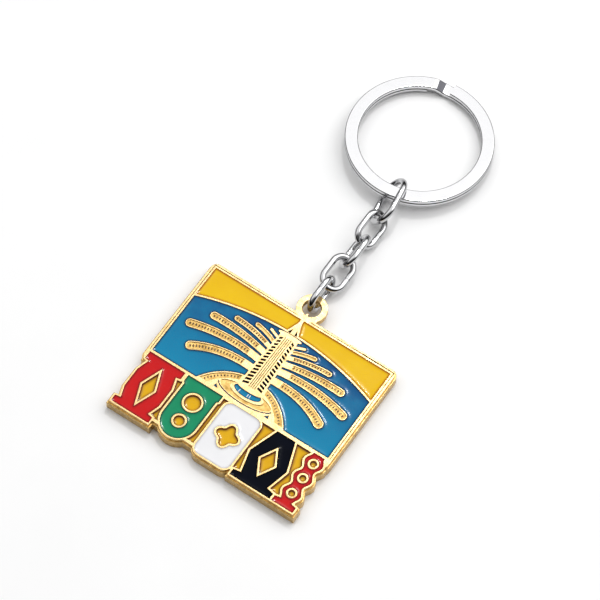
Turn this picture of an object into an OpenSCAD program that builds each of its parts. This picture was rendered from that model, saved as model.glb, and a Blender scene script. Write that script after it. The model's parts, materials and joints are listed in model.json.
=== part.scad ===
// Souvenir keychain: a cast pendant with enamel fields, five chain links
// and a two-turn split ring, laid out flat in its rest pose.
// The back of the pendant lies on z = 0, the face looks along +Z and
// the chain runs along +Y from the lug to the ring.

/* [View] */
// Node to draw, or "all"

/* [Pendant] */
// Width of the picture window inside its border
picture_w = 42.4; // [30:0.1:60]
// Height of the picture window inside its border
picture_h = 22.4; // [16:0.1:34]
// Width of the gold border round the picture
border_w = 1; // [0.6:0.05:2]
// Outer corner radius of the border
corner_r = 1.3; // [0.4:0.1:3]
// Height of the row of five tiles under the picture
tile_h = 13.2; // [9:0.1:20]
// Thickness of the casting
plate_t = 3; // [2.4:0.1:5]
// Width of the thin walls between enamel fields
wall_w = 0.42; // [0.3:0.01:0.8]
// Width of the lower step that runs round the tiles
ledge_w = 0.28; // [0.1:0.01:0.6]
// Height of that lower step above the back
ledge_z = 2.3; // [1.5:0.1:4]
// Depth of the enamel recesses below the face
recess_d = 0.9; // [0.4:0.05:1.6]
// Distance of the enamel surface below the face
enamel_drop = 0.14; // [0.05:0.01:0.5]
// Distance of the yellow ground between and inside the tiles below the face
gap_drop = 0.48; // [0.05:0.01:0.7]

/* [Lug] */
// Outer diameter of the hanging lug
lug_d = 6.5; // [5:0.1:10]
// Hole diameter of the lug
lug_hole_d = 3.9; // [3:0.1:6]
// Distance from the top of the border to the hole centre
lug_reach = 2.3; // [1.5:0.1:4]

/* [Chain] */
// Wire diameter of every link
wire_d = 1.4; // [0.8:0.05:2.2]
// Outer length of the four small links
link_l = 9.2; // [7:0.1:14]
// Outer width of the four small links
link_w = 6; // [5:0.1:9]
// Outer length of the end link that holds the split ring
end_link_l = 11.8; // [9:0.1:16]
// Outer width of the end link
end_link_w = 7.6; // [6.6:0.1:11]

/* [Split ring] */
// Outside diameter of the split ring
ring_d = 31; // [20:0.5:45]
// Width of the flat band the ring is wound from
band_w = 2.7; // [1.5:0.1:4]
// Thickness of one turn of the band
turn_t = 1; // [0.6:0.05:1.5]

/* [Hidden] */
$fa = 4;
$fs = 0.35;

// Picture and border
px = picture_w / 2;
py = picture_h / 2;
sx = picture_w / 42.4;
sy = picture_h / 22.4;
floor_z = plate_t - recess_d;
enamel_t = recess_d - enamel_drop;
gap_t = recess_d - gap_drop;
relief_d = 0.2;
line_d = 0.12;
top_y = py + border_w;
sill = 0.55;
tile_top = -py - sill;
ty = tile_h / 13.2;
skirt_y = tile_top - 2 * ty;
bridge_y = tile_top - 12.4 * ty;
cell_foot_y = tile_top - 11.7 * ty;

// Horizon arc, base mound and tower
horizon_rise = 3.7 * sy;
horizon_y = 7.5 * sy;
horizon_r = (px * px + horizon_rise * horizon_rise) / (2 * horizon_rise);
mound_hw = 10.5 * sx;
mound_rise = 6.1 * sy;
mound_r = (mound_hw * mound_hw + mound_rise * mound_rise) / (2 * mound_rise);
band_hw = 8.2 * sx;
band_rise = 4.6 * sy;
band_r = (band_hw * band_hw + band_rise * band_rise) / (2 * band_rise);
tower_foot = -7.7 * sy;
tower_top = 6.7 * sy;
tower_hw0 = 2.75 * sx;
tower_hw1 = 2.05 * sx;
spine_hw = 0.85 * sx;
mast_tip = top_y + 0.9;

// Chain and ring
wire_r = wire_d / 2;
crown_r = (link_w - wire_d) / 2;
half_l = (link_l - wire_d) / 2;
end_crown_r = (end_link_w - wire_d) / 2;
end_half_l = (end_link_l - wire_d) / 2;
seat = 0.02;
slack = 0.36;
lug_y = top_y + lug_reach;
lug_z = wire_d + 0.2;
turn_gap = 0.06;
band_h = 2 * turn_t + turn_gap;
roll_1 = 95;
roll_2 = -20;
roll_3 = 58;
roll_4 = -45;
roll_5 = asin(min(1, (wire_r + band_h / 2 + 0.7) / end_crown_r));
yaw_5 = 8;

// Height at which a link of that crown radius and roll touches the table
function lying(r, roll) = wire_r + seat + r * abs(sin(roll));

hook_y = lug_y - 0.2 + 1.5 * (lug_hole_d / 2 - wire_r - 1.25);
pitch = 2 * half_l - wire_d - slack;
chain_x = -0.2;
link_1_y = hook_y + half_l;
link_4_y = link_1_y + 3 * pitch;
link_5_y = link_4_y + half_l - (wire_d + slack) / 2
    + (end_half_l - (wire_d + slack) / 2) * cos(yaw_5);
link_5_x = chain_x - (end_half_l - (wire_d + slack) / 2) * sin(yaw_5);
link_1_z = lying(crown_r, roll_1);
link_3_z = lying(crown_r, roll_3);
link_5_z = lying(end_crown_r, roll_5);
link_2_z = max((link_1_z + link_3_z) / 2, lying(crown_r, roll_2));
link_4_z = max((link_3_z + link_5_z) / 2, lying(crown_r, roll_4));
ring_r = ring_d / 2;
ring_in_r = ring_r - band_w;
ring_mid_r = ring_r - band_w / 2;
ring_shift = 2.2;
ring_tilt = asin((link_5_z - band_h / 2 - seat) / (ring_mid_r + ring_r));
ring_back = sqrt(ring_in_r * ring_in_r - ring_shift * ring_shift);
ring_x = link_5_x - end_half_l * sin(yaw_5) - ring_shift;
ring_y = link_5_y + end_half_l * cos(yaw_5) - wire_r - 1.1 + ring_back;
ring_z = link_5_z - ring_mid_r * sin(ring_tilt);
cut_angle = 94;
step_in = 112;
step_out = 97;

// ---- Small geometry helpers -------------------------------------------

function unit(v) = v / norm(v);

// Outline moved outwards by g, for outlines listed anticlockwise
function grow(p, g) = [
    for (i = [0:len(p) - 1])
        let (
            a = p[(i + len(p) - 1) % len(p)],
            b = p[i],
            c = p[(i + 1) % len(p)],
            u = unit(b - a),
            v = unit(c - b),
            m = [u[1], -u[0]],
            n = [v[1], -v[0]]
        )
        b + (m + n) * g / (1 + m * n)
];

// Full outline from its right half, listed from bottom to top
function both(h) = concat(
    h,
    [for (i = [len(h) - 1:-1:0]) [-h[i][0], h[i][1]]]
);

function oval(cx, cy, a, b, n = 48) = [
    for (i = [0:n - 1])
        [cx + a * cos(360 * i / n), cy + b * sin(360 * i / n)]
];

function bend(p, t) =
    (1 - t) * (1 - t) * p[0] + 2 * t * (1 - t) * p[1] + t * t * p[2];

function bend_dir(p, t) =
    unit((1 - t) * (p[1] - p[0]) + t * (p[2] - p[1]));

function side_of(p, t, w) =
    bend(p, t) + w * [bend_dir(p, t)[1], -bend_dir(p, t)[0]];

// ---- Tiles: right half outlines about the tile's own centre line -------

tile_x = [-17 * sx, -7.75 * sx, 2.05 * sx, 11.85 * sx, 19.55 * sx];

// Height below the top of the row
function down(d) = tile_top - d * ty;

half_1 = [
    [4.5 * sx, down(13.2)],
    [4.5 * sx, down(11.8)],
    [3.3 * sx, down(11.6)],
    [4.15 * sx, down(9)],
    [4.15 * sx, down(4.6)],
    [3.3 * sx, down(1.9)],
    [4.3 * sx, down(1.7)],
    [4.3 * sx, down(0)],
];

half_2 = concat(
    [
        for (i = [0:12])
            [
                3.85 * sx * sin(2 + 88 * i / 12),
                down(9.2 + 4 * cos(2 + 88 * i / 12))
            ]
    ],
    [
        [3.85 * sx, down(1.9)],
        [4.2 * sx, down(1.6)],
        [4.2 * sx, down(0)],
    ]
);

half_3 = concat(
    [
        for (i = [0:6])
            [
                (2.6 + 1.65 * sin(15 * i)) * sx,
                down(11.5 + 1.65 * cos(15 * i))
            ]
    ],
    [
        for (i = [0:6])
            [
                (2.6 + 1.65 * cos(15 * i)) * sx,
                down(1.85 - 1.65 * sin(15 * i))
            ]
    ]
);

half_4 = [
    [4.75 * sx, down(13.2)],
    [4.75 * sx, down(11.9)],
    [3.1 * sx, down(11.6)],
    [4.35 * sx, down(6.6)],
    [2.1 * sx, down(0.2)],
];

half_5 = concat(
    [
        [2.5 * sx, down(13.2)],
        [2.5 * sx, down(12)],
        [1.22 * sx, down(11.7)],
    ],
    [
        for (i = [0:24])
            [
                (1.62 - 0.4 * cos(360 * (10.8 - 0.45 * i) / 3.9)) * sx,
                down(10.8 - 0.45 * i)
            ]
    ]
);

tiles = [both(half_1), both(half_2), both(half_3), both(half_4), both(half_5)];

// Windows of the tiles, each as [tile number, outline]
diamond_1 = [
    [0, down(10.6)],
    [1.45 * sx, down(6.8)],
    [0, down(3)],
    [-1.45 * sx, down(6.8)],
];
petals = [
    for (i = [0:47])
        let (r = 2.1 + 0.42 * cos(30 * i))
        [r * cos(7.5 * i) * sx, down(6.7) + r * sin(7.5 * i) * ty]
];
diamond_4 = [
    [0, down(9.9)],
    [1.65 * sx, down(6.9)],
    [0, down(3.9)],
    [-1.65 * sx, down(6.9)],
];

windows = [
    [0, diamond_1],
    [1, oval(0, down(4.6), 1.75 * sx, 1.75 * ty, 36)],
    [1, oval(0, down(9.3), 1.15 * sx, 1.15 * ty, 28)],
    [2, petals],
    [3, diamond_4],
    [4, oval(0, down(2.15), 0.72 * sx, 0.72 * ty, 20)],
    [4, oval(0, down(5.85), 0.72 * sx, 0.72 * ty, 20)],
    [4, oval(0, down(9.75), 0.72 * sx, 0.72 * ty, 20)],
];

module tile_2d(i, g = 0) {
    translate([tile_x[i], 0]) polygon(grow(tiles[i], g));
}

module windows_2d(i, g = 0) {
    for (w = windows)
        if (w[0] == i)
            translate([tile_x[i], 0]) polygon(grow(w[1], g));
}

module tile_cell_2d(i) {
    difference() {
        tile_2d(i);
        windows_2d(i, wall_w);
    }
}

// Yellow ground between the tiles, closed below by the casting
module gap_cells_2d() {
    difference() {
        translate([tile_x[0], cell_foot_y])
            square([tile_x[4] - tile_x[0], tile_top - cell_foot_y - 0.3]);
        for (i = [0:4])
            tile_2d(i, wall_w);
    }
}

// ---- Picture ------------------------------------------------------------

// Fronds of the left side: root, control, tip, root and tip half widths
fronds = [
    [[-1.5, -3.4], [-9.6, -2.5], [-15.5, -6.1], 0.8, 1],
    [[-1.5, -1.1], [-10.4, 0.45], [-18.4, -1.95], 0.75, 0.95],
    [[-1.5, 0.7], [-8.4, 2.45], [-15.3, 2.1], 0.65, 0.85],
    [[-1.5, 2.3], [-6.2, 4.1], [-11.1, 4.2], 0.5, 0.6],
    [[-1.3, 3.6], [-4.1, 5], [-6.9, 5.35], 0.4, 0.48],
    [[-1.2, 5], [-2.8, 5.55], [-4, 6.02], 0.26, 0.3],
];

function frond_outline(f) =
    let (
        p = [for (k = [0:2]) [f[k][0] * sx, f[k][1] * sy]],
        d = bend_dir(p, 1),
        a = atan2(d[1], d[0])
    )
    concat(
        [for (i = [0:10]) side_of(p, i / 10, f[3] + (f[4] - f[3]) * i / 10)],
        [
            for (i = [1:7])
                p[2] + f[4] * [cos(a - 90 + 22.5 * i), sin(a - 90 + 22.5 * i)]
        ],
        [
            for (i = [10:-1:0])
                side_of(p, i / 10, -(f[3] + (f[4] - f[3]) * i / 10))
        ]
    );

module fronds_2d() {
    for (s = [0, 1])
        mirror([s, 0])
            for (f = fronds)
                polygon(frond_outline(f));
}

function tower_hw(y) =
    tower_hw0 + (tower_hw1 - tower_hw0) * (y - tower_foot)
        / (tower_top - tower_foot);

module tower_2d() {
    polygon(both([
        [tower_hw0, tower_foot],
        [tower_hw(0) + 0.12 * sx, 0],
        [tower_hw1, tower_top],
    ]));
    polygon(oval(0, tower_foot, tower_hw0, 0.5 * sy));
    polygon(oval(0, tower_top, 2.75 * sx, 0.5 * sy));
}

// Mast with a straight stay on either side
module mast_2d() {
    polygon(both([
        [1.75 * sx, tower_top],
        [0.4, tower_top + 3.6 * sy],
        [0.17, mast_tip],
    ]));
}

module mast_cells_2d() {
    for (s = [-1, 1])
        polygon([
            [s * 0.5, tower_top + 0.75 * sy],
            [s * 1.05 * sx, tower_top + 0.75 * sy],
            [s * 0.5, tower_top + 1.85 * sy],
        ]);
}

// Slanted dark cells between the bars of both facades
hatch_n = 15;
hatch_step = (tower_top - tower_foot - 1.5 * sy) / hatch_n;

module hatch_cells_2d() {
    for (s = [-1, 1])
        for (i = [0:hatch_n - 1]) {
            y0 = tower_foot + 0.75 * sy + i * hatch_step;
            x0 = spine_hw + 0.22;
            x1 = tower_hw(y0) - 0.4;
            polygon([
                [s * x0, y0 + 0.35 * sy],
                [s * x1, y0],
                [s * x1, y0 + hatch_step * 0.55],
                [s * x0, y0 + 0.35 * sy + hatch_step * 0.55],
            ]);
        }
}

module disc_above_2d(r, rise) {
    intersection() {
        translate([0, -py + rise - r]) circle(r = r);
        translate([-px, -py]) square([2 * px, 2 * py]);
    }
}

module half_window_2d(s) {
    translate([s < 0 ? -px : 0, -py]) square([px, 2 * py]);
}

module horizon_2d(g) {
    translate([0, horizon_y - horizon_r]) circle(r = horizon_r + g, $fn = 360);
}

module sky_cell_2d(s) {
    difference() {
        half_window_2d(s);
        horizon_2d(0.2);
        mast_2d();
        tower_2d();
    }
}

module sea_cell_2d(s) {
    difference() {
        intersection() {
            half_window_2d(s);
            horizon_2d(-0.2);
        }
        fronds_2d();
        tower_2d();
        disc_above_2d(mound_r, mound_rise);
    }
}

// Crescent pool at the tower foot, moat line and two slivers beside it
module pool_cells_2d() {
    difference() {
        polygon(oval(0, -8.35 * sy, 3.15 * sx, 1.15 * sy));
        tower_2d();
    }
    for (s = [-1, 1])
        polygon([
            [s * 6.6 * sx, -10.85 * sy],
            [s * 5.6 * sx, -10.85 * sy],
            [s * 6.3 * sx, -10.15 * sy],
        ]);
    intersection() {
        difference() {
            polygon(oval(0, -9.05 * sy, 6.55 * sx, 2.05 * sy));
            polygon(oval(0, -9.05 * sy, 6.3 * sx, 1.85 * sy));
            tower_2d();
            translate([0, -py + band_rise - band_r]) difference() {
                circle(r = band_r + 3);
                circle(r = band_r - 0.25);
            }
        }
        half_plane_2d(-8.6 * sy);
    }
}

module half_plane_2d(y) {
    translate([-px, y - picture_h]) square([2 * px, picture_h]);
}

// Stepped deck between the pool rim and the moat line
module deck_step_2d() {
    difference() {
        polygon(oval(0, -9.05 * sy, 5.95 * sx, 1.6 * sy));
        polygon(oval(0, -8.6 * sy, 3.95 * sx, 1.45 * sy));
        tower_2d();
    }
}

// Shallow trough along every wide frond, inside its raised outline
rim_w = 0.22;

function frond_floor(f) =
    let (
        p = [for (k = [0:2]) [f[k][0] * sx, f[k][1] * sy]],
        d = bend_dir(p, 1),
        a = atan2(d[1], d[0]),
        w0 = f[3] - rim_w,
        w1 = f[4] - rim_w
    )
    concat(
        [for (i = [2:10]) side_of(p, i / 10, w0 + (w1 - w0) * i / 10)],
        [
            for (i = [1:5])
                p[2] + w1 * [cos(a - 90 + 30 * i), sin(a - 90 + 30 * i)]
        ],
        [
            for (i = [10:-1:2])
                side_of(p, i / 10, -(w0 + (w1 - w0) * i / 10))
        ]
    );

module frond_floors_2d() {
    for (s = [0, 1])
        mirror([s, 0])
            for (f = fronds)
                if (f[3] > 0.3)
                    polygon(frond_floor(f));
}

// Sunk strip round the mound, between its rim and the inner band
module mound_strip_2d() {
    difference() {
        disc_above_2d(mound_r - 0.3, mound_rise - 0.3);
        translate([0, -py + band_rise - band_r]) circle(r = band_r + 0.2);
        translate([-px, -py]) square([2 * px, 0.4]);
        translate([-tower_hw0 - 0.3, -py]) square([2 * tower_hw0 + 0.6, 2 * py]);
    }
}

// Fine upright lines on the spine of the tower
module tower_lines_2d() {
    line_w = 0.12;
    for (x = [-0.72, -0.26, 0.14, 0.6])
        translate([x * sx, tower_foot + 0.7 * sy])
            square([line_w, tower_top - tower_foot - 1.3 * sy]);
}

// Fine line that parts the bright inner rim of the border from its outer band
module border_line_2d() {
    inner = border_w * 0.4;
    line_w = 0.1;
    difference() {
        translate([-px - inner - line_w, -py])
            square([2 * (px + inner + line_w), 2 * py + inner + line_w]);
        translate([-px - inner, -py - 1])
            square([2 * (px + inner), 2 * py + inner + 1]);
        translate([-0.8, 0]) square([1.6, 2 * py]);
    }
}

// ---- Casting ------------------------------------------------------------

module frame_2d(g) {
    w = 2 * (px + border_w + g);
    r = corner_r + g;
    low = skirt_y - g;
    high = top_y + g;
    translate([-w / 2 + r, low]) square([w - 2 * r, high - low]);
    translate([-w / 2, low + r]) square([w, high - low - 2 * r]);
    for (s = [-1, 1])
        for (y = [low + r, high - r])
            translate([s * (w / 2 - r), y]) circle(r = r);
}

module silhouette_2d(g) {
    frame_2d(g);
    translate([tile_x[0], bridge_y - g])
        square([tile_x[4] - tile_x[0], tile_top - bridge_y]);
    for (i = [0:4])
        tile_2d(i, wall_w + g);
}

module lug() {
    translate([0, 0, lug_z])
        linear_extrude(plate_t - lug_z)
            difference() {
                union() {
                    translate([0, lug_y]) circle(d = lug_d);
                    translate([-2.6, top_y - 0.5])
                        square([5.2, 1]);
                    polygon([
                        [-0.17, mast_tip],
                        [-0.4, top_y],
                        [0.4, top_y],
                        [0.17, mast_tip],
                    ]);
                }
                difference() {
                    translate([0, lug_y]) circle(d = lug_hole_d);
                    polygon([
                        [-0.17, mast_tip],
                        [-0.4, top_y],
                        [0.4, top_y],
                        [0.17, mast_tip],
                    ]);
                }
            }
}

module recess(depth = recess_d) {
    translate([0, 0, plate_t - depth])
        linear_extrude(depth + 1)
            children();
}

module enamel(t = enamel_t) {
    translate([0, 0, floor_z])
        linear_extrude(t)
            children();
}

module pendant_plate() {
    color([0.85, 0.66, 0.28]) {
        difference() {
            union() {
                linear_extrude(ledge_z) silhouette_2d(ledge_w);
                translate([0, 0, 0.5])
                    linear_extrude(plate_t - 0.5) silhouette_2d(0);
            }
            for (s = [-1, 1]) {
                recess() sky_cell_2d(s);
                recess() sea_cell_2d(s);
            }
            recess() pool_cells_2d();
            recess() hatch_cells_2d();
            recess() mast_cells_2d();
            recess(relief_d) deck_step_2d();
            recess(relief_d) frond_floors_2d();
            recess(relief_d) mound_strip_2d();
            recess(line_d) border_line_2d();
            recess(line_d) tower_lines_2d();
            for (i = [0:4]) {
                recess() tile_cell_2d(i);
                recess() windows_2d(i);
            }
            recess() gap_cells_2d();
        }
        lug();
    }
}

// ---- Enamel fields --------------------------------------------------------

module sky_enamel_left() {
    color([0.93, 0.74, 0.06]) enamel() sky_cell_2d(-1);
}

module sky_enamel_right() {
    color([0.93, 0.74, 0.06]) enamel() sky_cell_2d(1);
}

module sea_enamel_left() {
    color([0, 0.42, 0.68]) enamel() sea_cell_2d(-1);
}

module sea_enamel_right() {
    color([0, 0.42, 0.68]) enamel() sea_cell_2d(1);
}

module pool_enamel() {
    color([0, 0.5, 0.65]) enamel() pool_cells_2d();
}

module tower_enamel() {
    color([0.04, 0.08, 0.2]) enamel() {
        hatch_cells_2d();
        mast_cells_2d();
    }
}

module tile_1_enamel() {
    color([0.84, 0.06, 0.07]) enamel() tile_cell_2d(0);
}

module tile_2_enamel() {
    color([0.05, 0.62, 0.43]) enamel() tile_cell_2d(1);
}

module tile_3_enamel() {
    color([0.96, 0.96, 0.96]) enamel() tile_cell_2d(2);
}

module tile_4_enamel() {
    color([0.03, 0.05, 0.1]) enamel() tile_cell_2d(3);
}

module tile_5_enamel() {
    color([0.84, 0.06, 0.07]) enamel() tile_cell_2d(4);
}

module window_enamel() {
    color([0.93, 0.74, 0.06]) enamel(gap_t) for (i = [0:4]) windows_2d(i);
}

module gap_enamel() {
    color([0.93, 0.74, 0.06]) enamel(gap_t) gap_cells_2d();
}

// ---- Chain ----------------------------------------------------------------

// One oval link in the xy plane, long way along y
module link_body(length, width) {
    crown = (width - wire_d) / 2;
    leg = length - width;
    for (s = [0, 1])
        mirror([0, s])
            translate([0, leg / 2])
                rotate_extrude(angle = 180)
                    translate([crown, 0]) circle(d = wire_d);
    for (s = [-1, 1])
        translate([s * crown, leg / 2])
            rotate([90, 0, 0])
                cylinder(h = leg, d = wire_d);
}

module placed_link(place, roll, yaw = 0, length = link_l, width = link_w) {
    color([0.78, 0.79, 0.8])
        translate(place)
            rotate([0, 0, yaw])
                rotate([0, -roll, 0])
                    link_body(length, width);
}

module link_1() {
    placed_link([chain_x, link_1_y, link_1_z], roll_1);
}

module link_2() {
    placed_link([chain_x, link_1_y + pitch, link_2_z], roll_2);
}

module link_3() {
    placed_link([chain_x, link_1_y + 2 * pitch, link_3_z], roll_3);
}

module link_4() {
    placed_link([chain_x, link_4_y, link_4_z], roll_4);
}

module link_5() {
    placed_link([link_5_x, link_5_y, link_5_z], roll_5, yaw_5, end_link_l, end_link_w);
}

// ---- Split ring -------------------------------------------------------------

module turn(z0, from, sweep) {
    e = 0.12;
    rotate([0, 0, from])
        rotate_extrude(angle = sweep)
            translate([ring_in_r, z0])
                polygon([
                    [e, 0],
                    [band_w - e, 0],
                    [band_w, e],
                    [band_w, turn_t - e],
                    [band_w - e, turn_t],
                    [e, turn_t],
                    [0, turn_t - e],
                    [0, e],
                ]);
}

// Sloping step that joins the end of the upper turn to the lower turn,
// a hair thinner than the band so that its ends sit inside both turns
module step() {
    mid = (step_in + step_out) / 2;
    run = ring_mid_r * sin((step_in - step_out) / 2);
    thin = 0.03;
    low = -turn_t - turn_gap / 2 + thin;
    high = turn_gap / 2 + thin;
    step_t = turn_t - 2 * thin;
    rotate([0, 0, mid])
        intersection() {
            rotate([90, 0, 90])
                linear_extrude(ring_r + 1)
                    polygon([
                        [-run - 0.6, low],
                        [-run, low],
                        [run, high],
                        [run + 0.6, high],
                        [run + 0.6, high + step_t],
                        [run - 0.25, high + step_t],
                        [-run - 0.25, low + step_t],
                        [-run - 0.6, low + step_t],
                    ]);
            difference() {
                cylinder(h = 4 * turn_t, r = ring_r - thin, center = true);
                cylinder(h = 5 * turn_t, r = ring_in_r + thin, center = true);
            }
        }
}

module split_ring() {
    color([0.8, 0.81, 0.82])
        translate([ring_x, ring_y, ring_z])
            rotate([-ring_tilt, 0, 0]) {
                turn(turn_gap / 2, step_in, 360 - step_in + cut_angle);
                turn(-turn_t - turn_gap / 2, step_in + 4, 356 - step_in + step_out);
                step();
            }
}

// ---- Drawing ----------------------------------------------------------------

pendant_plate();
sky_enamel_left();
sky_enamel_right();
sea_enamel_left();
sea_enamel_right();
pool_enamel();
tower_enamel();
tile_1_enamel();
tile_2_enamel();
tile_3_enamel();
tile_4_enamel();
tile_5_enamel();
window_enamel();
gap_enamel();
link_1();
link_2();
link_3();
link_4();
link_5();
split_ring();
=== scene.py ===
# %% [markdown]
# # An enamelled souvenir keychain
# The object is a small die-cast pendant with coloured enamel poured between thin gold walls, a short
# chain of oval links and a two-turn split ring. This lesson loads the working model as a fixed frame
# and then gives every piece its finished mesh and its own procedural finish. The frame already holds
# the sizes and the joints, so each new mesh is measured from it and rides on one of its bodies.

# %% Load the frame
import json
import math

import bmesh
import bpy
from mathutils import Matrix, Vector
from mathutils.kdtree import KDTree


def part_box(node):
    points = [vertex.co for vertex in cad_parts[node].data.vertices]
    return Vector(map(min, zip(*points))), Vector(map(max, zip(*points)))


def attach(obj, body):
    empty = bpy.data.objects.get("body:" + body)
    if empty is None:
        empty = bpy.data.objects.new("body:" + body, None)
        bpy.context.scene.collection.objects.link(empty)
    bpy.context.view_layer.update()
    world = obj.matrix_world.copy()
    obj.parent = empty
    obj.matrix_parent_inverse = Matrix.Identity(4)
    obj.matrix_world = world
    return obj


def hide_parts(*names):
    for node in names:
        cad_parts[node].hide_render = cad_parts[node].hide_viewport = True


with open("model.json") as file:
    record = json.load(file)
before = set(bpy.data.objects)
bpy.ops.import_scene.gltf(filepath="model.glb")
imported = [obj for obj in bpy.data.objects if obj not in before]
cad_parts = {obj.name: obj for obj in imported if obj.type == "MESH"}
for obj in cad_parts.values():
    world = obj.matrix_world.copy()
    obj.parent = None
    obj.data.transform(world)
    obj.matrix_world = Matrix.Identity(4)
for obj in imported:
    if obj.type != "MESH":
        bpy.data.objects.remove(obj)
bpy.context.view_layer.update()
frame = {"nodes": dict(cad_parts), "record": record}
MM = 0.001
nodes = frame["nodes"]

# %% [markdown]
# ## Small tools
# Every piece ends in the same way: a bmesh becomes an object at the origin, gets its materials, rides
# on a body and stands for its CAD node. One function does all of that, so that the cells below hold
# only what is special to a piece.


# %% Finish a piece
def finish_piece(bm, name, body, materials, stands_for=(), sharp=30):
    """Turns a bmesh into a shown object that rides on a body of the frame."""
    for edge in bm.edges:
        edge.smooth = len(edge.link_faces) == 2 and edge.calc_face_angle(0) < math.radians(sharp)
    for face in bm.faces:
        face.smooth = True
    mesh = bpy.data.meshes.new(name)
    bm.to_mesh(mesh)
    bm.free()
    piece = bpy.data.objects.new(name, mesh)
    bpy.context.scene.collection.objects.link(piece)
    for material in materials:
        mesh.materials.append(material)
    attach(piece, body)
    if stands_for:
        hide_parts(*stands_for)
    print(f"{name}: {len(mesh.polygons)} faces on {body}")
    return piece


def keep_flats_flat(piece):
    """Weights the shading by face area, so that a wide flat next to a tiny bevel stays flat."""
    weighted = piece.modifiers.new("weighted_normals", "WEIGHTED_NORMAL")
    weighted.mode = "FACE_AREA"
    weighted.weight = 50
    weighted.keep_sharp = True


# %% [markdown]
# A CAD node arrives as loose triangles. Working on the shape needs a joined mesh with large faces, so
# a copy of the node is merged first and its coplanar triangles are dissolved into whole faces. The
# node itself is never touched.


# %% Copy a CAD node as a clean mesh
def merged_copy(node):
    bm = bmesh.new()
    bm.from_mesh(nodes[node].data)
    bmesh.ops.remove_doubles(bm, verts=bm.verts, dist=0.004 * MM)
    bmesh.ops.dissolve_limit(bm, angle_limit=math.radians(0.5), verts=bm.verts, edges=bm.edges)
    return bm


def round_edges(bm, edges, width, segments=2):
    bmesh.ops.bevel(
        bm,
        geom=edges,
        offset=width,
        offset_type="OFFSET",
        affect="EDGES",
        segments=segments,
        profile=0.5,
        material=-1,
        clamp_overlap=False,
    )


# %% [markdown]
# ## Finishes
# Each finish is a small node tree round one Principled shader. Patterns are read from Object
# coordinates, which are metres here, so a noise scale of 10000 means grains of about a tenth of a
# millimetre. Values that are the same all over are set on the shader itself.


# %% Helpers for node trees
def start_material(name, metallic, roughness, coat=0.0):
    material = bpy.data.materials.new(name)
    material.use_nodes = True
    tree = material.node_tree
    shader = tree.nodes["Principled BSDF"]
    shader.inputs["Metallic"].default_value = metallic
    shader.inputs["Roughness"].default_value = roughness
    shader.inputs["Coat Weight"].default_value = coat
    return material, tree, shader


def object_noise(tree, scale, detail=3.0, roughness=0.55, stretch=(1, 1, 1)):
    """Noise on Object coordinates, stretched where the grain has a direction."""
    coordinates = tree.nodes.new("ShaderNodeTexCoord")
    mapping = tree.nodes.new("ShaderNodeMapping")
    mapping.inputs["Scale"].default_value = stretch
    noise = tree.nodes.new("ShaderNodeTexNoise")
    noise.inputs["Scale"].default_value = scale
    noise.inputs["Detail"].default_value = detail
    noise.inputs["Roughness"].default_value = roughness
    tree.links.new(coordinates.outputs["Object"], mapping.inputs["Vector"])
    tree.links.new(mapping.outputs["Vector"], noise.inputs["Vector"])
    return noise.outputs["Fac"]


def ramp(tree, value, stops):
    """Colour ramp from (position, colour) stops; a colour may be one grey level."""
    node = tree.nodes.new("ShaderNodeValToRGB")
    elements = node.color_ramp.elements
    while len(elements) < len(stops):
        elements.new(0.5)
    for element, (place, colour) in zip(elements, stops):
        element.position = place
        element.color = (colour,) * 3 + (1,) if isinstance(colour, float) else (*colour, 1)
    tree.links.new(value, node.inputs["Fac"])
    return node.outputs["Color"]


def mix_colours(tree, factor, first, second, blend="MIX"):
    node = tree.nodes.new("ShaderNodeMix")
    node.data_type = "RGBA"
    node.blend_type = blend
    for socket, value in ((0, factor), (6, first), (7, second)):
        if isinstance(value, bpy.types.NodeSocket):
            tree.links.new(value, node.inputs[socket])
        elif socket == 0:
            node.inputs[0].default_value = value
        else:
            node.inputs[socket].default_value = (*value, 1)
    return node.outputs[2]


def add_bump(tree, shader, height, distance):
    bump = tree.nodes.new("ShaderNodeBump")
    bump.inputs["Distance"].default_value = distance
    tree.links.new(height, bump.inputs["Height"])
    tree.links.new(bump.outputs["Normal"], shader.inputs["Normal"])


# %% [markdown]
# The casting is zinc alloy with a bright gold plate. Its tops are polished, with a faint grain left
# from the mould. The sunk floors were left sandy so that they look darker, and the outer sides show
# the fine upright grain of tumbling. The finest lines and the pit floors get a near-black brown, painted
# shade for these narrow hollows.


# %% Gold finishes
def gold_finish(name, light, deep, low, high, grain, grain_height, stretch=(1, 1, 1)):
    """light and deep are the two tints; low and high are the limits of the roughness."""
    material, tree, shader = start_material(name, 1.0, low)
    patches = object_noise(tree, 900, detail=4)
    fine = object_noise(tree, grain, detail=3, roughness=0.7, stretch=stretch)
    tint = mix_colours(tree, ramp(tree, patches, [(0.35, 0.0), (0.7, 1.0)]), light, deep)
    specks = ramp(tree, fine, [(0.3, 0.8), (0.55, 1.0)])
    tree.links.new(mix_colours(tree, 1.0, tint, specks, "MULTIPLY"), shader.inputs["Base Color"])
    tree.links.new(ramp(tree, patches, [(0.3, low), (0.75, high)]), shader.inputs["Roughness"])
    add_bump(tree, shader, fine, grain_height)
    return material


gold_polished = gold_finish(
    "gold_polished", (0.74, 0.54, 0.27), (0.57, 0.38, 0.16), 0.2, 0.36, 5200, 0.012 * MM
)
gold_sanded = gold_finish(
    "gold_sanded", (0.6, 0.4, 0.14), (0.4, 0.24, 0.06), 0.34, 0.5, 7500, 0.025 * MM
)
gold_side = gold_finish(
    "gold_side",
    (0.72, 0.5, 0.2),
    (0.52, 0.33, 0.1),
    0.22,
    0.4,
    4200,
    0.008 * MM,
    stretch=(1, 1, 0.12),
)


# A near-black brown that is painted shade in the finest lines and on the pit floors.
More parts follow.
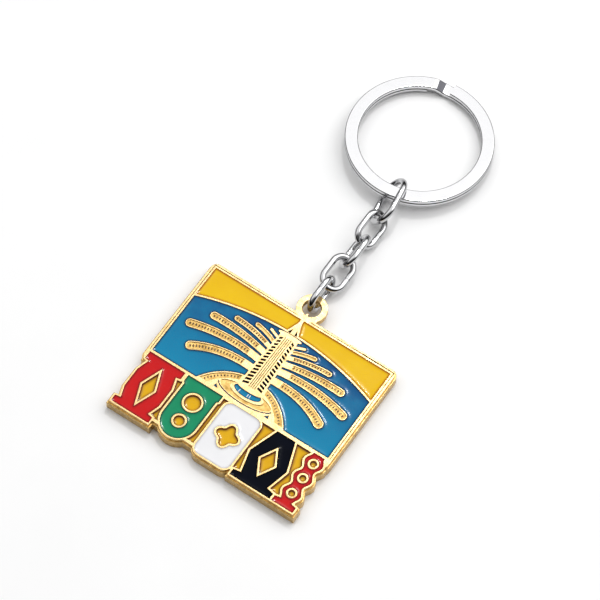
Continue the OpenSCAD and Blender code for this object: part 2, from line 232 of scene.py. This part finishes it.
def hollow_shade_finish():
    material, tree, shader = start_material("painted_hollow_shade", 0.35, 0.6)
    mottle = object_noise(tree, 6000)
    tree.links.new(
        ramp(tree, mottle, [(0.3, (0.04, 0.02, 0.007)), (0.7, (0.17, 0.09, 0.028))]),
        shader.inputs["Base Color"],
    )
    add_bump(tree, shader, mottle, 0.01 * MM)
    return material


painted_hollow_shade = hollow_shade_finish()
GOLDS = [gold_polished, gold_sanded, gold_side, painted_hollow_shade]
POLISHED, SANDED, SIDE, HOLLOW_SHADE = range(4)
print("gold finishes:", [m.name for m in GOLDS])

# %% [markdown]
# Soft enamel is a coloured resin that is poured between the walls and cured. It creeps up the walls,
# so its surface dips in the middle. Along the walls the colour is darkened with painted shade: the mesh
# carries an attribute, wall_shade, that is 1 at a wall and fades to 0 inside, and the finish mixes in a
# darker colour by it. A slow noise gives the slight cloudiness of a hand-filled colour, and a coat gives
# the wet gloss.


# %% Enamel finishes
def enamel_finish(name, body, deep, pale, wall_shade_strength=0.9, span=None, gloss=0.12):
    """body is the main colour, deep the colour of painted shade at a wall, and pale the colour of thin
    places.
    A span of two Y values fades the colour to pale from the second down to the first."""
    material, tree, shader = start_material(name, 0.0, 0.12, coat=gloss)
    shader.inputs["Coat Roughness"].default_value = 0.03
    shader.inputs["Specular IOR Level"].default_value = gloss
    cloud = object_noise(tree, 260, detail=2)
    colour = mix_colours(tree, ramp(tree, cloud, [(0.35, 0.0), (0.75, 0.55)]), body, pale)
    if span:
        coordinates = tree.nodes.new("ShaderNodeTexCoord")
        split = tree.nodes.new("ShaderNodeSeparateXYZ")
        fade = tree.nodes.new("ShaderNodeMapRange")
        fade.inputs["From Min"].default_value = span[1]
        fade.inputs["From Max"].default_value = span[0]
        tree.links.new(coordinates.outputs["Object"], split.inputs["Vector"])
        tree.links.new(split.outputs["Y"], fade.inputs["Value"])
        colour = mix_colours(tree, fade.outputs["Result"], colour, pale)
    # Painted shade: where wall_shade is high, along the walls, the colour turns to deep.
    wall = tree.nodes.new("ShaderNodeAttribute")
    wall.attribute_name = "wall_shade"
    shade = ramp(tree, wall.outputs["Fac"], [(0.05, 0.0), (0.62, wall_shade_strength)])
    tree.links.new(mix_colours(tree, shade, colour, deep), shader.inputs["Base Color"])
    orange_peel = object_noise(tree, 1500, detail=1)
    add_bump(tree, shader, orange_peel, 0.004 * MM)
    specks = object_noise(tree, 9000, detail=2)
    tree.links.new(ramp(tree, specks, [(0.3, 0.1), (0.8, 0.2)]), shader.inputs["Roughness"])
    return material


sea_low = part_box("sea_enamel_left")[0].y
sea_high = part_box("sea_enamel_left")[1].y
yellow = enamel_finish("yellow_enamel", (0.82, 0.49, 0.001), (0.36, 0.09, 0.0), (0.88, 0.57, 0.003))
# A darker copy of the yellow for the sunk yellow ground: its darker body and its near-black wall colour are
# painted shade.
shaded_yellow = enamel_finish(
    "shaded_yellow_enamel", (0.72, 0.39, 0.001), (0.13, 0.025, 0.0), (0.8, 0.47, 0.002), wall_shade_strength=0.97
)
blue = enamel_finish(
    "blue_enamel", (0.0, 0.065, 0.22), (0.0, 0.012, 0.05), (0.0, 0.23, 0.42), span=(sea_low, sea_high)
)
red = enamel_finish("red_enamel", (0.58, 0.002, 0.004), (0.2, 0.0, 0.001), (0.66, 0.006, 0.006))
green = enamel_finish("green_enamel", (0.002, 0.25, 0.11), (0.0, 0.05, 0.03), (0.004, 0.31, 0.14))
white = enamel_finish("white_enamel", (0.84, 0.84, 0.86), (0.4, 0.38, 0.35), (0.9, 0.9, 0.91), 0.6)
navy = enamel_finish(
    "navy_enamel", (0.001, 0.002, 0.006), (0.0, 0.0, 0.001), (0.002, 0.004, 0.012), gloss=0.03
)
print("enamels: yellow, amber, blue, red, green, white, navy")

# %% [markdown]
# The chain and the ring are bright nickel. Nickel is a little warmer and darker than chrome. Handling
# leaves hairline scratches along the wire and round the band, so the bump noise is stretched that way,
# and the roughness wanders between freshly polished and slightly dulled. The rolled corners of the
# ring's band get a near-black nickel of their own, a painted dark reflection.


# %% Nickel finishes
def nickel_finish(name, tone, low, high, scratch_scale, stretch):
    material, tree, shader = start_material(name, 1.0, low)
    smudge = object_noise(tree, 450, detail=3)
    dull = tuple(channel * 0.95 for channel in tone)
    tree.links.new(
        mix_colours(tree, ramp(tree, smudge, [(0.4, 0.0), (0.7, 1.0)]), tone, dull),
        shader.inputs["Base Color"],
    )
    tree.links.new(ramp(tree, smudge, [(0.35, low), (0.7, high)]), shader.inputs["Roughness"])
    scratches = object_noise(tree, scratch_scale, detail=4, roughness=0.7, stretch=stretch)
    add_bump(tree, shader, scratches, 0.0006 * MM)
    return material


nickel_wire = nickel_finish("nickel_wire", (0.54, 0.54, 0.55), 0.04, 0.12, 4000, (1, 0.2, 1))
nickel_band = nickel_finish("nickel_band", (0.74, 0.74, 0.75), 0.06, 0.14, 3000, (1, 1, 0.3))
painted_dark_edge = nickel_finish("painted_dark_edge", (0.09, 0.09, 0.1), 0.12, 0.22, 3000, (1, 1, 0.3))
print("nickel finishes ready")

# %% [markdown]
# ## The casting
# The pendant is one casting: a border, thin walls round every colour, a sunk trough along each frond
# of the picture, and a lug for the chain. The outlines are right in the frame, so the finished mesh
# starts from a merged copy of that node. What a mould adds is rounding. The walls between colours get
# a hair of it, the outer rims more, and the bevels are what catches the light.

# %% Round the rims of the casting
plate_low, plate_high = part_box("pendant_plate")
top_z = plate_high.z
ledge_z = 2.3 * MM
plate = merged_copy("pendant_plate")


def edge_at(edge, z):
    return all(abs(v.co.z - z) < 0.01 * MM for v in edge.verts)


def lowest_point(edge):
    """Lowest z of the upright face beside an edge, which tells an outer side from an enamel cell."""
    uprights = [f for f in edge.link_faces if abs(f.normal.z) < 0.3]
    return min((v.co.z for f in uprights for v in f.verts), default=edge.verts[0].co.z)


def sharp_edges(bm, z):
    return [
        e
        for e in bm.edges
        if edge_at(e, z) and len(e.link_faces) == 2 and e.calc_face_angle_signed(0) > math.radians(60)
    ]


rims = sharp_edges(plate, top_z)
outer = [e for e in rims if abs(lowest_point(e) - ledge_z) < 0.02 * MM or lowest_point(e) < 1.9 * MM]
inner = [e for e in rims if e not in set(outer)]
steps = sharp_edges(plate, ledge_z)
feet = sharp_edges(plate, plate_low.z)
print("rims:", len(outer), "outer,", len(inner), "inner,", len(steps), "step,", len(feet), "foot")
round_edges(plate, inner, 0.055 * MM)
round_edges(plate, [e for e in outer if e.is_valid], 0.11 * MM, 3)
round_edges(plate, [e for e in steps + feet if e.is_valid], 0.1 * MM, 3)

# %% [markdown]
# The finish follows the height of a face. Level faces at the top are polished, those a fifth of a
# millimetre down are the sandy troughs, the fine line in the border gets the near-black brown of painted
# shade, and everything upright or lower is the tumbled side.

# %% Give the casting its finishes
trough_z = top_z - 0.2 * MM
line_z = top_z - 0.12 * MM
# The fine line in the border takes the near-black brown, painted shade for a narrow hollow.
for face in plate.faces:
    z = face.calc_center_median().z
    level = face.normal.z > 0.95
    if level and abs(z - trough_z) < 0.02 * MM:
        face.material_index = SANDED
    elif level and abs(z - line_z) < 0.02 * MM:
        face.material_index = HOLLOW_SHADE
    elif z > top_z - 0.15 * MM:
        face.material_index = POLISHED
    else:
        face.material_index = SIDE
casting = finish_piece(plate, "casting", "pendant", GOLDS, ["pendant_plate"])
keep_flats_flat(casting)

# %% [markdown]
# ## The enamel
# Each colour is its own poured sheet between walls. The pour starts from a merged copy of the CAD
# sheet. Its top is sliced by a grid of planes, so that there are points to move, and every point is
# then lowered by how far it is from the nearest wall. Right at a wall the resin stands highest. A value
# that fades with the same distance is stored as wall_shade, for the painted shade of the finish.


# %% Pour an enamel sheet
def wall_points(edges, spacing):
    """A search tree of points along the walls of a sheet."""
    points = []
    for edge in edges:
        a, b = (v.co.copy() for v in edge.verts)
        count = max(1, math.ceil((b - a).length / spacing))
        points += [a.lerp(b, i / count) for i in range(count + 1)]
    tree = KDTree(len(points))
    for i, point in enumerate(points):
        tree.insert(point, i)
    tree.balance()
    return tree


def slice_top(bm, z, cell):
    """Cuts the level top of a sheet along a square grid."""
    low = Vector(tuple(min(v.co[i] for v in bm.verts) for i in range(3)))
    high = Vector(tuple(max(v.co[i] for v in bm.verts) for i in range(3)))
    for axis in (0, 1):
        normal = Vector((axis == 0, axis == 1, 0))
        for i in range(1, math.ceil((high[axis] - low[axis]) / cell)):
            top = [f for f in bm.faces if f.normal.z > 0.95 and abs(f.verts[0].co.z - z) < 0.01 * MM]
            place = low + normal * (i * cell)
            parts = set(top)
            for face in top:
                parts.update(face.edges)
                parts.update(face.verts)
            bmesh.ops.bisect_plane(
                bm, geom=list(parts), dist=0.002 * MM, plane_co=place, plane_no=normal
            )


def pour(name, node, finish, climb=0.07, dip=0.03, reach=0.32, cell=0.4):
    """climb and dip are how far the resin rises at a wall and sinks in the middle, in mm."""
    bm = merged_copy(node)
    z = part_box(node)[1].z
    top = [f for f in bm.faces if f.normal.z > 0.95 and abs(f.calc_center_median().z - z) < 0.01 * MM]
    border = {e for f in top for e in f.edges if len(e.link_faces) == 2 and e.calc_face_angle(0) > 1}
    walls = wall_points(border, 0.05 * MM)
    slice_top(bm, z, cell * MM)
    # wall_shade holds painted shade for the finish: 1 on the sheet's sides, and on its top a value that
    # fades with distance from the nearest wall.
    layer = bm.verts.layers.float.new("wall_shade")
    for vert in bm.verts:
        if abs(vert.co.z - z) > 0.01 * MM:
            vert[layer] = 1.0
            continue
        distance = walls.find(vert.co)[2] / MM
        near = math.exp(-distance / reach)
        vert[layer] = math.exp(-distance / (0.6 * reach))
        vert.co.z += (near * (climb + dip) - dip) * MM
    sheet = finish_piece(bm, name, "pendant", [finish], [node], sharp=50)
    return sheet


# %% [markdown]
# The sky and the sea are the large fields, and their surface is where the gloss shows. The yellow
# ground round and inside the tiles was filled lower than the rest, so it lies in shadow along its
# walls. It gets a darker copy of the yellow, whose darker body and strong wall colour are painted shade.

# %% Pour every colour
pour("sky_left", "sky_enamel_left", yellow)
pour("sky_right", "sky_enamel_right", yellow)
pour("sea_left", "sea_enamel_left", blue, cell=0.3)
pour("sea_right", "sea_enamel_right", blue, cell=0.3)
pour("pool", "pool_enamel", blue, reach=0.2, cell=0.3)
pour("tower_panes", "tower_enamel", navy, climb=0.03, dip=0.05, reach=0.12, cell=0.3)
pour("tile_1", "tile_1_enamel", red)
pour("tile_2", "tile_2_enamel", green)
pour("tile_3", "tile_3_enamel", white)
pour("tile_4", "tile_4_enamel", navy)
pour("tile_5", "tile_5_enamel", red)
pour("windows", "window_enamel", shaded_yellow, climb=0.1, reach=0.42, cell=0.25)
pour("gaps", "gap_enamel", shaded_yellow, climb=0.1, reach=0.45, cell=0.25)

# %% [markdown]
# ## Relief of the picture
# The sandy troughs carry a row of tiny punched pits, each with a raised lip and a floor in the near-black
# brown of painted shade. There are well over a hundred, so one pit has only a few faces: a disc, inset
# three times, first up to the lip and then down again. The rows follow the same curves as the fronds of the
# casting.

# %% Curves of the fronds
FRONDS = [
    [(-1.5, -3.4), (-9.6, -2.5), (-15.5, -6.1), 1.0],
    [(-1.5, -1.1), (-10.4, 0.45), (-18.4, -1.95), 0.95],
    [(-1.5, 0.7), (-8.4, 2.45), (-15.3, 2.1), 0.85],
    [(-1.5, 2.3), (-6.2, 4.1), (-11.1, 4.2), 0.6],
]
PIT_SPACING = 0.66
PIT_INSETS = ((0.14, 0.22), (0.1, 0.0), (0.08, -0.2))
FIRST_PIT = 0.22


def bend(points, t):
    a, b, c = (Vector(p) for p in points)
    return (1 - t) ** 2 * a + 2 * t * (1 - t) * b + t * t * c


def bend_heading(points, t):
    a, b, c = (Vector(p) for p in points)
    return ((1 - t) * (b - a) + t * (c - b)).normalized()


# %% Punch the pits
def punch_pit(bm, place, heading, z, length, width):
    """One pit at a place in mm, longer across the row than along it."""
    turn = Matrix.Rotation(math.atan2(heading.y, heading.x), 4, "Z")
    shape = Matrix.Diagonal((length, width, 1, 1))
    where = Matrix.Translation((place.x * MM, place.y * MM, z)) @ turn @ shape
    made = bmesh.ops.create_circle(bm, cap_ends=True, segments=8, radius=MM, matrix=where)
    face = made["verts"][0].link_faces[0]
    if face.normal.z < 0:
        face.normal_flip()
    small = min(length, width)
    for inset, depth in PIT_INSETS:
        bmesh.ops.inset_individual(bm, faces=[face], thickness=inset * small * MM, depth=depth * small * MM)
    # The pit floor takes slot 1, the near-black brown of painted shade.
    face.material_index = 1


def pit_row(bm, side, curve, start, z, width):
    length = sum((bend(curve, i / 20) - bend(curve, (i + 1) / 20)).length for i in range(20))
    count = round(length * (1 - start) / PIT_SPACING)
    for i in range(count + 1):
        t = start + (1 - start) * i / count
        place, heading = bend(curve, t), bend_heading(curve, t)
        place.x *= side
        heading.x *= side
        punch_pit(bm, place, heading, z, 0.22, width)
    return count + 1


def mound_row(bm, side, z):
    """Pits along the sunk strip that runs round the mound, on an arc about a point below it."""
    radius, middle, count = 11.03, -16.93, 11
    for i in range(count):
        angle = math.radians(19 + 3.5 * i)
        place = Vector((-side * radius * math.sin(angle), middle + radius * math.cos(angle)))
        heading = Vector((-side * math.cos(angle), -math.sin(angle)))
        punch_pit(bm, place, heading, z, 0.2, 0.3)
    return count


pit_z = trough_z + 0.002 * MM
for side, word in ((1, "left"), (-1, "right")):
    pits = bmesh.new()
    made = sum(pit_row(pits, side, f[:3], FIRST_PIT, pit_z, 0.2 + 0.17 * f[3]) for f in FRONDS)
    made += mound_row(pits, side, pit_z)
    print(word, "pits:", made)
    finish_piece(pits, "pits_" + word, "pendant", [gold_polished, painted_hollow_shade])

# %% [markdown]
# Three pale bars across the crescent of blue at the foot of the tower are painted glints on the enamel.
# They are little white blocks with rounded edges that stand a few hundredths of a millimetre out of the
# enamel.

# %% Set the painted glints in the pool
painted_glints = bmesh.new()
pool_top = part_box("pool_enamel")[1].z
GLINT_Y = -8.85 * MM
GLINT_SIZE = (0.17 * MM, 0.74 * MM, 0.14 * MM, 1)
for x, tilt in ((-1.7, -12), (0.35, 3), (0.85, 6)):
    turn = Matrix.Rotation(math.radians(tilt), 4, "Z")
    where = Matrix.Translation((x * MM, GLINT_Y, pool_top)) @ turn
    shape = Matrix.Diagonal(GLINT_SIZE)
    bmesh.ops.create_cube(painted_glints, size=1, matrix=where @ shape)
round_edges(painted_glints, painted_glints.edges[:], 0.03 * MM)
finish_piece(painted_glints, "pool_painted_glints", "pendant", [white])

# %% [markdown]
# ## The chain
# Each link is a length of round wire bent to an oval and closed with a butt joint in one leg. A circle
# is extruded up one leg, spun half a turn, extruded down the other and spun back to where it began.
# The closing joint is a groove of a few hundredths of a millimetre. A link's middle comes from its
# node's box, its roll about the chain is the one it was laid with, and the last link, which holds the
# ring, is larger than the others and turned a little to the side.

# %% Measure the links
WIRE = 1.4 * MM
SMALL = (9.2 * MM, 6.0 * MM)
LARGE = (11.8 * MM, 7.6 * MM)
LAST_ROLL = math.degrees(math.asin((0.7 + 1.03 + 0.7) * MM / ((LARGE[1] - WIRE) / 2)))
LINKS = [(95, 0, SMALL), (-20, 0, SMALL), (58, 0, SMALL), (-45, 0, SMALL), (LAST_ROLL, 8, LARGE)]


# %% Bend a link
def draw_out(bm, ring, distance, scale=1.0):
    """Extrudes a ring of edges along Y and scales the new ring about its own middle."""
    made = bmesh.ops.extrude_edge_only(bm, edges=ring)["geom"]
    verts = [g for g in made if isinstance(g, bmesh.types.BMVert)]
    bmesh.ops.translate(bm, verts=verts, vec=(0, distance, 0))
    middle = sum((v.co for v in verts), Vector()) / len(verts)
    bmesh.ops.scale(bm, verts=verts, vec=(scale,) * 3, space=Matrix.Translation(-middle))
    return [g for g in made if isinstance(g, bmesh.types.BMEdge)]


def spin_back(bm, ring, centre):
    made = bmesh.ops.spin(
        bm, geom=ring, cent=centre, axis=(0, 0, 1), angle=math.pi, steps=32, use_duplicate=False
    )["geom_last"]
    return [g for g in made if isinstance(g, bmesh.types.BMEdge)]


def bend_link(number, roll, yaw, size):
    crown = (size[1] - WIRE) / 2
    leg = size[0] - size[1]
    seam = 0.05 * MM
    bm = bmesh.new()
    start = Matrix.Translation((crown, -leg / 2, 0)) @ Matrix.Rotation(math.pi / 2, 4, "X")
    bmesh.ops.create_circle(bm, segments=32, radius=WIRE / 2, matrix=start)
    ring = bm.edges[:]
    ring = draw_out(bm, ring, leg / 2 - 2 * seam)
    for distance, scale in ((1, 0.99), (0.4, 0.9), (0.8, 1.0), (0.4, 1 / 0.9), (1, 1 / 0.99)):
        ring = draw_out(bm, ring, distance * seam, scale)
    ring = draw_out(bm, ring, leg / 2 - 1.6 * seam)
    ring = spin_back(bm, ring, (0, leg / 2, 0))
    ring = draw_out(bm, ring, -leg / 2)
    ring = draw_out(bm, ring, -leg / 2)
    spin_back(bm, ring, (0, -leg / 2, 0))
    bmesh.ops.remove_doubles(bm, verts=bm.verts, dist=0.01 * MM)
    bmesh.ops.recalc_face_normals(bm, faces=bm.faces)
    node = f"link_{number}"
    low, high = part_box(node)
    place = Matrix.Translation((low + high) / 2) @ Matrix.Rotation(math.radians(yaw), 4, "Z")
    place = place @ Matrix.Rotation(math.radians(-roll), 4, "Y")
    bmesh.ops.transform(bm, matrix=place, verts=bm.verts)
    gap = max(abs(max(v.co[i] for v in bm.verts) - high[i]) for i in range(3))
    print(f"{node} laid at {roll:.0f} degrees, {gap / MM:.3f} mm off its node's box")
    return finish_piece(bm, f"chain_link_{number}", node, [nickel_wire], [node], sharp=60)


for number, (roll, yaw, size) in enumerate(LINKS, start=1):
    bend_link(number, roll, yaw, size)

# %% [markdown]
# ## The split ring
# A split ring is one flat band wound two turns. Where the lower turn climbs onto the upper one there
# is a short sloping step beside the band's cut end. The band's section is a rounded rectangle, spun
# round the ring's middle: once for the lower turn, then in small spins that also rise for the step,
# and once more for the upper turn. The whole ring then tips by the small angle at which it lies.

# %% Wind the split ring
RING_OUTER = 15.5 * MM
BAND_WIDTH = 2.7 * MM
TURN = 1.0 * MM
RISE = TURN + 0.06 * MM
STEP_DEGREES = 15
STEP_PARTS = 10
LOWER_START = 116
LOWER_SWEEP = 341
UPPER_SWEEP = 342
ring_low, ring_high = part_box("split_ring")
stack = RISE + TURN
tip = math.asin((ring_high.z - ring_low.z - stack) / (2 * RING_OUTER))
key_loop = next(m for m in frame["record"]["mounts"] if m["name"] == "key_loop")
ring_centre = Vector(key_loop["pos_m"])


def sweep(bm, ring, degrees, steps, rise=0.0):
    made = bmesh.ops.spin(
        bm,
        geom=ring,
        cent=(0, 0, 0),
        axis=(0, 0, 1),
        dvec=(0, 0, rise / steps),
        angle=math.radians(degrees),
        steps=steps,
        use_duplicate=False,
    )["geom_last"]
    return [g for g in made if isinstance(g, bmesh.types.BMEdge)]


band = bmesh.new()
upright = Matrix.Translation((RING_OUTER - BAND_WIDTH / 2, 0, -RISE / 2)) @ Matrix.Rotation(
    math.pi / 2, 4, "X"
)
bmesh.ops.create_grid(
    band, x_segments=1, y_segments=1, size=0.5, matrix=upright @ Matrix.Diagonal((BAND_WIDTH, TURN, 1, 1))
)
bmesh.ops.bevel(
    band, geom=band.verts[:], offset=0.24 * MM, offset_type="OFFSET", affect="VERTICES", segments=4,
    profile=0.5, material=-1,
)
bmesh.ops.delete(band, geom=band.faces[:], context="FACES_ONLY")
bmesh.ops.rotate(band, verts=band.verts, matrix=Matrix.Rotation(math.radians(LOWER_START), 3, "Z"))
first = band.edges[:]
loop = sweep(band, first, LOWER_SWEEP, 170)
for part in range(STEP_PARTS):
    a, b = (0.5 - 0.5 * math.cos(math.pi * k / STEP_PARTS) for k in (part, part + 1))
    loop = sweep(band, loop, STEP_DEGREES / STEP_PARTS, 1, RISE * (b - a))
last = sweep(band, loop, UPPER_SWEEP, 170)
for end in (first, last):
    bmesh.ops.contextual_create(band, geom=end)
bmesh.ops.recalc_face_normals(band, faces=band.faces)
# The sloping faces of the rounded corners take slot 1, the near-black nickel of painted dark reflection.
for face in band.faces:
    face.material_index = 1 if 0.3 < abs(face.normal.z) < 0.95 else 0
lay = Matrix.Translation(ring_centre) @ Matrix.Rotation(-tip, 4, "X")
bmesh.ops.transform(band, matrix=lay, verts=band.verts)
wound = finish_piece(band, "wound_ring", "ring", [nickel_band, painted_dark_edge], ["split_ring"], 40)
keep_flats_flat(wound)
print(f"ring tips {math.degrees(tip):.2f} degrees")

# %% [markdown]
# ## The studio
# The keychain lies on a plain pale sheet under a big soft ceiling of light. The sky of the studio is
# bright overhead and dark low down and on the viewer's side, which draws dark lines along the nickel;
# on the ring's rolled corners a painted dark reflection adds to them. A small lamp beyond the pendant
# puts the bright streaks on the enamel beside its walls, and a larger one to its right gives the soft
# shadows their direction.


# %% Floor, light and sky
def studio_floor():
    bm = bmesh.new()
    bmesh.ops.create_grid(bm, x_segments=1, y_segments=1, size=3.0)
    mesh = bpy.data.meshes.new("studio_floor")
    bm.to_mesh(mesh)
    bm.free()
    floor = bpy.data.objects.new("studio_floor", mesh)
    bpy.context.scene.collection.objects.link(floor)
    material, tree, shader = start_material("pale_sheet", 0.0, 0.7)
    tone = ramp(tree, object_noise(tree, 40), [(0.3, (0.95, 0.95, 0.95)), (0.7, (0.97, 0.97, 0.97))])
    tree.links.new(tone, shader.inputs["Base Color"])
    shader.inputs["Specular IOR Level"].default_value = 0.1
    mesh.materials.append(material)


def soft_lamp(name, place, target, size, power):
    lamp = bpy.data.lights.new(name, "AREA")
    lamp.shape = "RECTANGLE"
    lamp.size, lamp.size_y = size
    lamp.energy = power
    holder = bpy.data.objects.new(name, lamp)
    holder.location = place
    holder.rotation_euler = (Vector(target) - Vector(place)).to_track_quat("-Z", "Y").to_euler()
    bpy.context.scene.collection.objects.link(holder)


def studio_sky(overhead, low, front, strength):
    """A bright ceiling over a dark horizon, dimmed on the viewer's side."""
    world = bpy.data.worlds.new("studio_sky")
    bpy.context.scene.world = world
    world.use_nodes = True
    tree = world.node_tree
    coordinates = tree.nodes.new("ShaderNodeTexCoord")
    split = tree.nodes.new("ShaderNodeSeparateXYZ")
    tree.links.new(coordinates.outputs["Generated"], split.inputs["Vector"])
    ceiling = ramp(tree, split.outputs["Z"], [(0.0, low), (0.42, low), (0.6, overhead)])
    toward = tree.nodes.new("ShaderNodeVectorMath")
    toward.operation = "DOT_PRODUCT"
    toward.inputs[1].default_value = (0.55, -0.84, 0.0)
    tree.links.new(coordinates.outputs["Generated"], toward.inputs[0])
    dimmer = ramp(tree, toward.outputs["Value"], [(0.0, 1.0), (0.15, 1.0), (0.5, front)])
    background = tree.nodes["Background"]
    background.inputs["Strength"].default_value = strength
    tree.links.new(mix_colours(tree, 1.0, ceiling, dimmer, "MULTIPLY"), background.inputs["Color"])


studio_floor()
studio_sky(overhead=1.0, low=0.04, front=0.08, strength=1.3)
soft_lamp("streak_lamp", (-0.1, 0.36, 0.66), (0, 0, 0), (0.07, 0.07), 0.9)
soft_lamp("key_lamp", (0.3, 0.42, 0.5), (0, 0.02, 0), (0.7, 0.7), 1.8)
bpy.context.scene.view_settings.view_transform = "Standard"
print("studio ready")

# %% [markdown]
# The camera stands well back with a long lens and looks down at about sixty degrees, turned so that
# the chain runs up and to the right.

# %% Camera
CAMERA_PLACE = Vector((187.6, -275.0, 674.8)) * MM
LOOK_AT = Vector((-3.9, 16.0, 0.0)) * MM
CAMERA_ROLL = 0.94
LENS = 225.2
lens = bpy.data.cameras.new("camera")
lens.lens = LENS
lens.sensor_width = 36
lens.clip_start = 0.05
lens.clip_end = 20
camera = bpy.data.objects.new("camera", lens)
camera.location = CAMERA_PLACE
aim = (LOOK_AT - CAMERA_PLACE).to_track_quat("-Z", "Y")
camera.rotation_euler = (aim.to_matrix() @ Matrix.Rotation(math.radians(CAMERA_ROLL), 3, "Z")).to_euler()
bpy.context.scene.collection.objects.link(camera)
bpy.context.scene.camera = camera
print("camera", camera.location[:])
